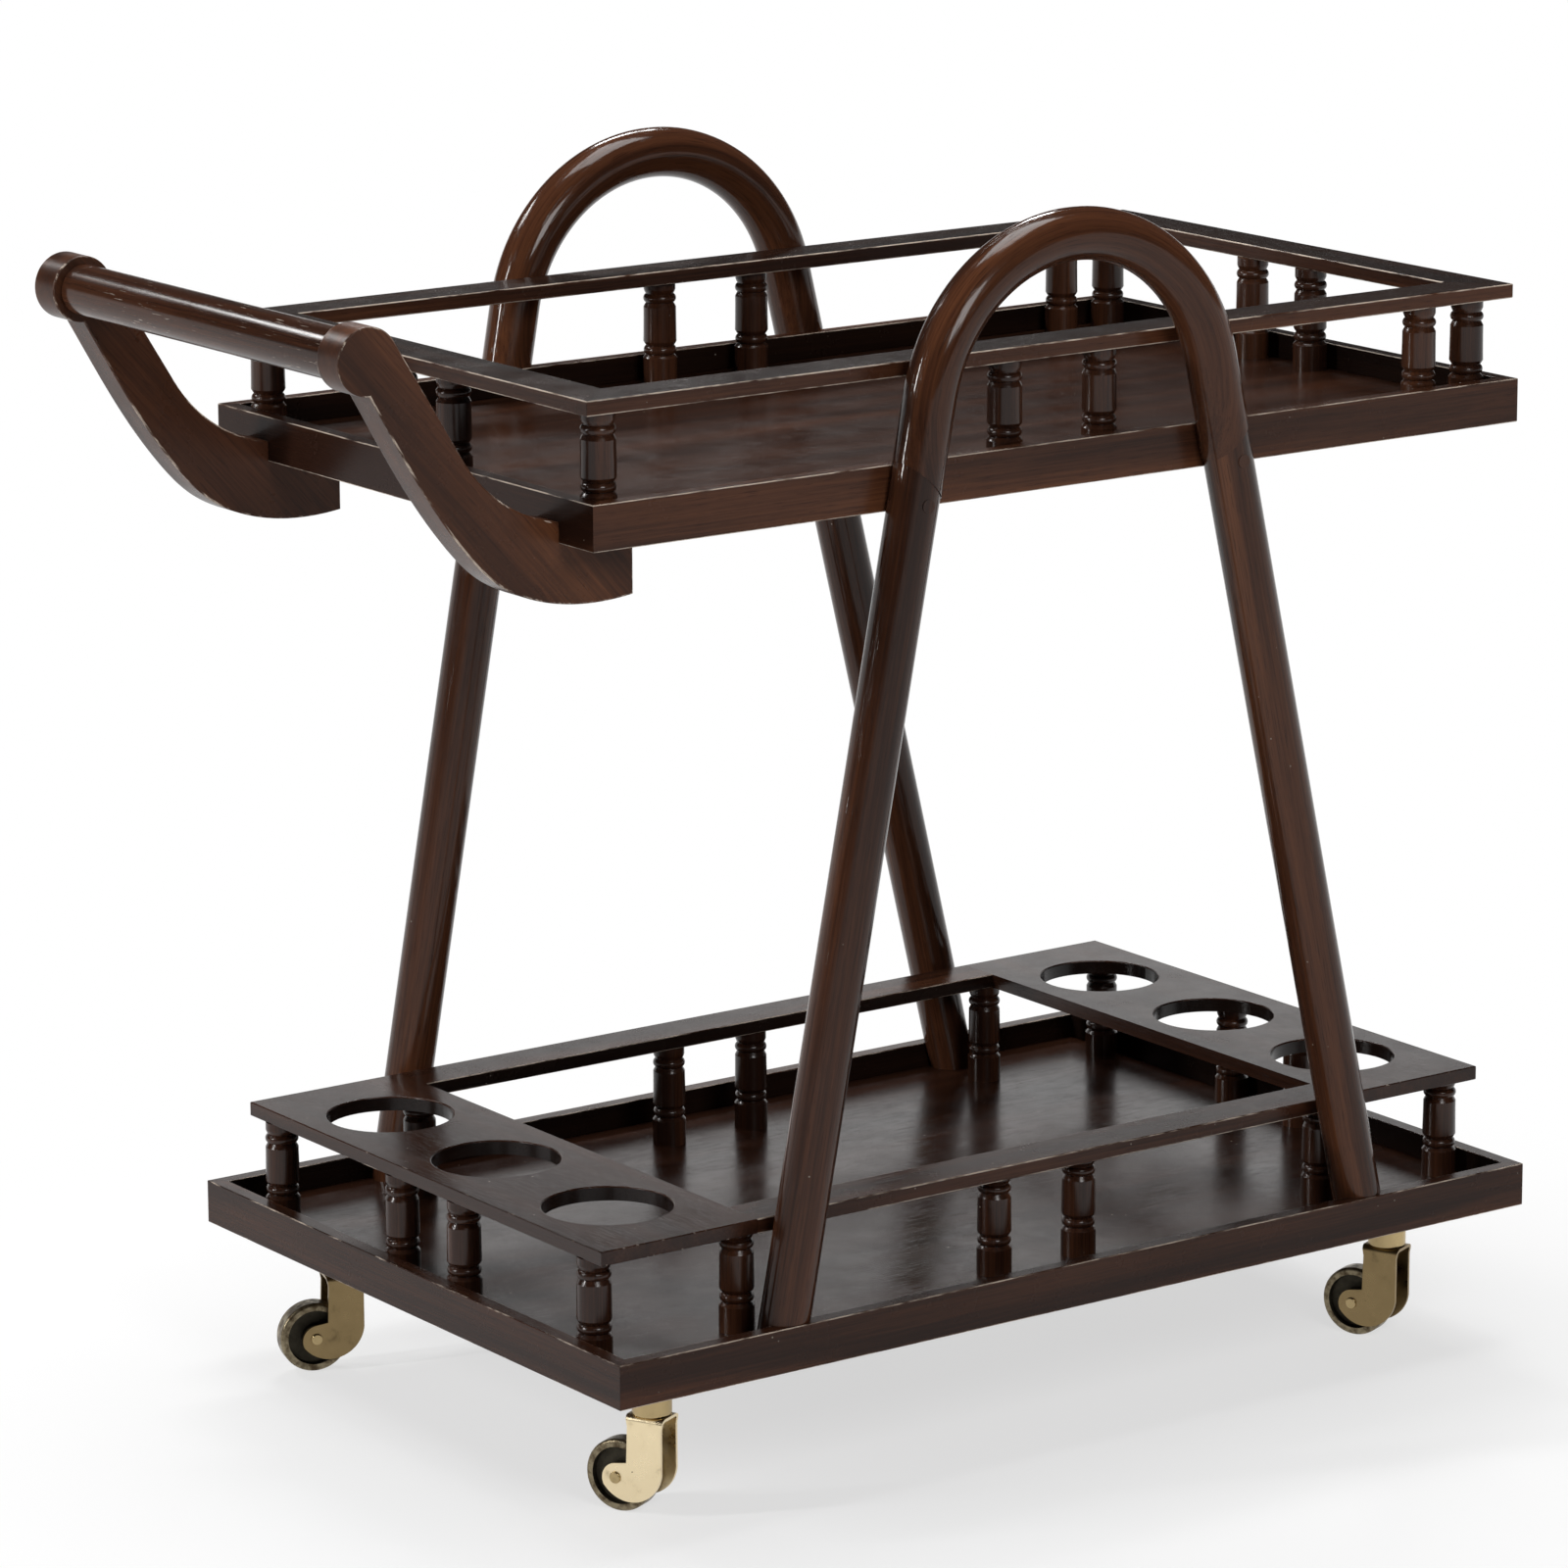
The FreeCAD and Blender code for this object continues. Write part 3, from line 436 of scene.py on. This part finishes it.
def cast_bronze(name):
    """Cast bronze wheel: a rubbed ring and tread, and a dark, grainy web."""
    shader = Shader(name)
    place = shader.place()
    grit = shader.noise(place, **GRIT)
    patina = shader.noise(place, **PATINA)
    web = shader.attribute("stain_and_shade")
    ring = shader.blend(shader.ramp(patina, PATINA_SPAN), BRONZE_RING, BRASS_STAIN)
    rough = shader.ramp(patina, BRONZE_ROUGHNESS_SPAN, BRONZE_ROUGHNESS)
    return shader.fill({
        "Base Color": shader.blend(web, ring, BRONZE_WEB),
        "Roughness": shader.plus(rough, shader.times(web, WEB_ROUGHNESS)),
        "Normal": shader.bump(grit, GRIT_STRENGTH, GRIT_DEPTH),
        "Metallic": BRONZE_METALLIC,
    })


def middle(name):
    """Middle of a node's box."""
    low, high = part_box(name)
    return (Vector(low) + Vector(high)) / 2


def mark_faces(part, mark, test):
    """Store 1 on the faces that pass a test, 0 on the others."""
    mesh = part.data
    layer = mesh.attributes.new(mark, "FLOAT", "FACE")
    for face in mesh.polygons:
        layer.data[face.index].value = 1.0 if test(face) else 0.0


def eased_flat(face):
    """A rounded straight edge of a flat board: its normal tilts between the faces."""
    square = min(abs(face.normal.x), abs(face.normal.y)) < SQUARE_NORMAL
    return square and TILTED_NORMAL < abs(face.normal.z) < FLAT_NORMAL


def eased_arm(face):
    """A rounded edge of an arm, between its side and its outline."""
    return TILTED_NORMAL < abs(face.normal.y) < FLAT_NORMAL


def upward(face):
    """The flat top of a board."""
    return face.normal.z > FLAT_NORMAL


def bored(name):
    """Test for the walls of the holes in a board: upright faces well inside its outline."""
    low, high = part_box(name)

    def test(face):
        x = face.center.x
        y = face.center.y
        inset = min(x - low[0], high[0] - x, y - low[1], high[1] - y)
        return abs(face.normal.z) < TILTED_NORMAL and inset > BORE_INSET

    return test


def inward(name):
    """Test for the upright faces of a long board that look across it towards the middle of the trays."""
    low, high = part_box(name)
    lengthwise = 0 if high[0] - low[0] > high[1] - low[1] else 1
    goal = middle("bottom_panel")

    def test(face):
        across = goal - face.center
        across[lengthwise] = 0
        across.z = 0
        return abs(face.normal.z) < UPRIGHT_NORMAL and face.normal.dot(across) > 0

    return test


def sunk(name):
    """Test for the web of a castor wheel: faces inside its ring and below its two sides."""
    hub = middle(name)
    corner = name.removeprefix("castor_wheel_")
    roll = next(joint for joint in frame["joints"] if joint["name"] == "roll_" + corner)
    axle = Vector(roll["axis"]).normalized()

    def test(face):
        reach = face.center - hub
        depth = reach.dot(axle)
        radius = (reach - axle * depth).length
        return radius < WEB_RADIUS and abs(depth) < WEB_DEPTH

    return test


def dress(part, material):
    """Give a part one material and smooth shading that keeps its sharp edges."""
    part.data.materials.clear()
    part.data.materials.append(material)
    part.data.shade_smooth()
    part.data.set_sharp_from_angle(angle=SHARP_ANGLE)


def castor_brass(name):
    """Brass of a castor: one fork is paler than the other three, and axles and necks are between them."""
    if name.startswith(("castor_axle", "castor_neck")):
        return "brass_rivet"
    # The near fork's paler brass is cleaner brass and partly painted light, for the lamps that fall on the
    # nearest castor
    return "brass_pale" if name == "castor_fork_handle_near" else "brass_aged"


def arch_wood(name):
    """Wood of an arch: the bend, a leg, or the plugs, which match the legs at the handle end."""
    if name.startswith("arch_bend"):
        return "wood_bend"
    return "wood_leg_free" if name.endswith("_free") else "wood_leg_handle"


def board_wood(name):
    """Wood of a flat board, by its place and by the way it runs."""
    if name.startswith("bottle_panel"):
        return "wood_bottles"
    if name.endswith("_panel"):
        return "wood_panel_top" if name.startswith("top") else "wood_panel"
    way = "y" if name.endswith(("_handle", "_free")) else "x"
    if name.startswith("gallery_rail"):
        return "wood_rail_" + way
    return ("wood_upper_" if name.startswith("top") else "wood_along_") + way


def dress_board(name, part):
    """Flat board with eased edges, and painted shade in its bores (over darker end-grain stain), on rail
    tops or on its inner side.
    """
    mark_faces(part, "edge", eased_flat)
    if name.startswith("bottle_panel"):
        mark_faces(part, "stain_and_shade", bored(name))
    elif name.startswith("gallery_rail"):
        mark_faces(part, "stain_and_shade", upward)
    elif not name.endswith("_panel"):
        mark_faces(part, "stain_and_shade", inward(name))
    dress(part, woods[board_wood(name)])


def seen_rays(nodes):
    """1 for what the eye sees, also in gloss and through glass, and 0 for light on the object."""
    rays = nodes.tree.nodes.new("ShaderNodeLightPath")
    seen = nodes.math("MAXIMUM", rays.outputs["Is Camera Ray"], rays.outputs["Is Glossy Ray"])
    return nodes.math("MAXIMUM", seen, rays.outputs["Is Transmission Ray"])


def background_white(shader, share):
    """Mix a share of white, seen by the eye, by gloss and through glass, over a material's surface."""
    white = shader.add("ShaderNodeEmission", {"Color": WHITE, "Strength": WHITE_STRENGTH})
    factor = shader.times(share, seen_rays(shader))
    return shader.add("ShaderNodeMixShader", {0: factor, 1: shader.surface.outputs[0], 2: white})


def stage_sheet(name, corners, material):
    """One flat, four-cornered sheet that belongs to the studio."""
    mesh = bpy.data.meshes.new(name)
    mesh.from_pydata(corners, [], [(0, 1, 2, 3)])
    mesh.materials.append(material)
    sheet = bpy.data.objects.new(name, mesh)
    bpy.context.scene.collection.objects.link(sheet)


def make_floor():
    """Wide pale floor that fades to white away from the cart and keeps its shadow."""
    shader = Shader("floor_white")
    finish = {"Base Color": FLOOR_COLOUR, "Roughness": FLOOR_ROUGHNESS, "Specular IOR Level": FLOOR_GLOSS}
    material = shader.fill(finish)
    ends = {0: shader.place(), 1: FLOOR_CENTRE}
    distance = shader.add("ShaderNodeVectorMath", ends, output="Value", operation="DISTANCE")
    share = shader.ramp(distance, FLOOR_FADE, (FLOOR_PALE, 1.0))
    shader.show(background_white(shader, share))
    reach = FLOOR_REACH
    corners = [(-reach, -reach, 0), (reach, -reach, 0), (reach, reach, 0), (-reach, reach, 0)]
    stage_sheet("floor", corners, material)


def make_backdrop():
    """Low white screen behind the cart, clear when seen from its back."""
    shader = Shader("backdrop_white")
    material = shader.fill({"Base Color": BLACK, "Specular IOR Level": 0.0})
    front = background_white(shader, 1.0)
    back = shader.add("ShaderNodeBsdfTransparent", {})
    side = shader.add("ShaderNodeNewGeometry", {}, output="Backfacing")
    shader.show(shader.add("ShaderNodeMixShader", {0: side, 1: front, 2: back}))
    ahead = Vector((-math.sin(CAMERA_AZIMUTH), math.cos(CAMERA_AZIMUTH), 0))
    right = Vector((math.cos(CAMERA_AZIMUTH), math.sin(CAMERA_AZIMUTH), 0))
    foot = ahead * BACKDROP_DISTANCE
    rise = Vector((0, 0, BACKDROP_HEIGHT))
    half = right * BACKDROP_WIDTH / 2
    corners = [foot - half, foot + half, foot + half + rise, foot - half + rise]
    stage_sheet("backdrop", corners, material)


def make_world():
    """Dim grey surroundings, white to the eye in a band along the horizon where the floor ends."""
    world = bpy.data.worlds.new("studio")
    bpy.context.scene.world = world
    world.use_nodes = True
    nodes = Nodes(world.node_tree)
    direction = nodes.split(nodes.add("ShaderNodeTexCoord", {}, output="Generated"))
    band = nodes.ramp(direction["Z"], HORIZON_FADE, (1.0, 0.0))
    share = nodes.times(band, seen_rays(nodes))
    level = nodes.plus(nodes.times(share, WHITE_STRENGTH - WORLD_LEVEL), WORLD_LEVEL)
    background = world.node_tree.nodes["Background"]
    background.inputs["Color"].default_value = WHITE
    nodes.feed(background.inputs["Strength"], level)


def make_camera():
    """Camera at the photograph's place."""
    right = Vector((math.cos(CAMERA_AZIMUTH), math.sin(CAMERA_AZIMUTH), 0))
    flat = math.cos(CAMERA_ELEVATION)
    rise = math.sin(CAMERA_ELEVATION)
    back = Vector((math.sin(CAMERA_AZIMUTH) * flat, -math.cos(CAMERA_AZIMUTH) * flat, rise))
    up = back.cross(right)
    side = right * math.cos(CAMERA_ROLL) + up * math.sin(CAMERA_ROLL)
    top = up * math.cos(CAMERA_ROLL) - right * math.sin(CAMERA_ROLL)
    lens = bpy.data.cameras.new("camera")
    lens.sensor_width = SENSOR_MM
    lens.lens = LENS_MM
    lens.clip_end = CAMERA_REACH
    camera = bpy.data.objects.new("camera", lens)
    turn = Matrix((side, top, back)).transposed()
    camera.matrix_world = Matrix.Translation(CAMERA_PLACE) @ turn.to_4x4()
    bpy.context.scene.collection.objects.link(camera)
    bpy.context.scene.camera = camera


def softbox(name, place, target, size, power):
    """Rectangular lamp aimed at a point."""
    lamp = bpy.data.lights.new(name, "AREA")
    lamp.shape = "RECTANGLE"
    lamp.size, lamp.size_y = size
    lamp.energy = power
    holder = bpy.data.objects.new(name, lamp)
    holder.location = place
    holder.rotation_euler = (Vector(target) - Vector(place)).to_track_quat("-Z", "Y").to_euler()
    holder.visible_camera = False
    bpy.context.scene.collection.objects.link(holder)


woods = {name: wood(name, **recipe) for name, recipe in WOODS.items()}
brasses = {name: brass(name, clean, aged) for name, (clean, aged) in BRASSES.items()}
bronze = cast_bronze("cast_bronze")

for name, part in frame["nodes"].items():
    if name.startswith("castor_wheel"):
        mark_faces(part, "stain_and_shade", sunk(name))
        dress(part, bronze)
    elif name.startswith("castor"):
        dress(part, brasses[castor_brass(name)])
    elif "spindles" in name:
        dress(part, woods["wood_turned"])
    elif name.startswith("arch"):
        dress(part, woods[arch_wood(name)])
    elif name.startswith("handle_arm"):
        mark_faces(part, "edge", eased_arm)
        dress(part, woods["wood_arm"])
    elif name == "handle_bar":
        dress(part, woods["wood_bar"])
    else:
        dress_board(name, part)

make_floor()
make_backdrop()
make_world()
make_camera()
for name, lamp in LAMPS.items():
    softbox(name, **lamp)
bpy.context.scene.view_settings.view_transform = "Standard"
